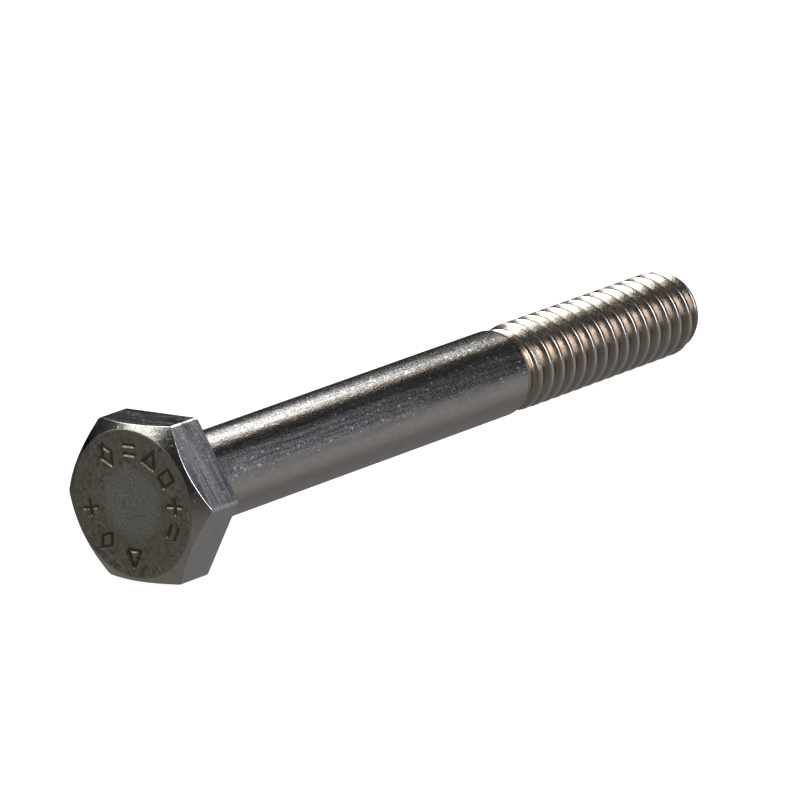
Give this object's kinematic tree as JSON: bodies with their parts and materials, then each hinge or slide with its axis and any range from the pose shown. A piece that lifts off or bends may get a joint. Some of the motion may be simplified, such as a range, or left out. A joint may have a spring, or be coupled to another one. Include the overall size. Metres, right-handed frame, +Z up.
{
  "type": "hex bolt",
  "caption": "Stainless hex head bolt with a plain shank, a right-hand coarse thread and a chamfered point, for clamping parts together.",
  "frame": {"origin": "centre of the bearing face under the head, on the shank's axis", "axes": "+X along the shank from the head to the point, +Z up and square to two of the hexagon's flats, one flat facing down"},
  "size_m": [0.0611, 0.0128, 0.0112],
  "materials": {
    "head_steel": "cold headed stainless, dull satin crown, sheared flats with a brighter burnish",
    "shank_steel": "drawn stainless, semi-bright with fine lengthwise draw lines and small dents",
    "thread_steel": "rolled stainless, bright burnished flanks and crests"
  },
  "bodies": {
    "root": {"hex_head": "head_steel", "shank": "shank_steel", "thread": "thread_steel"}
  },
  "joints": []
}
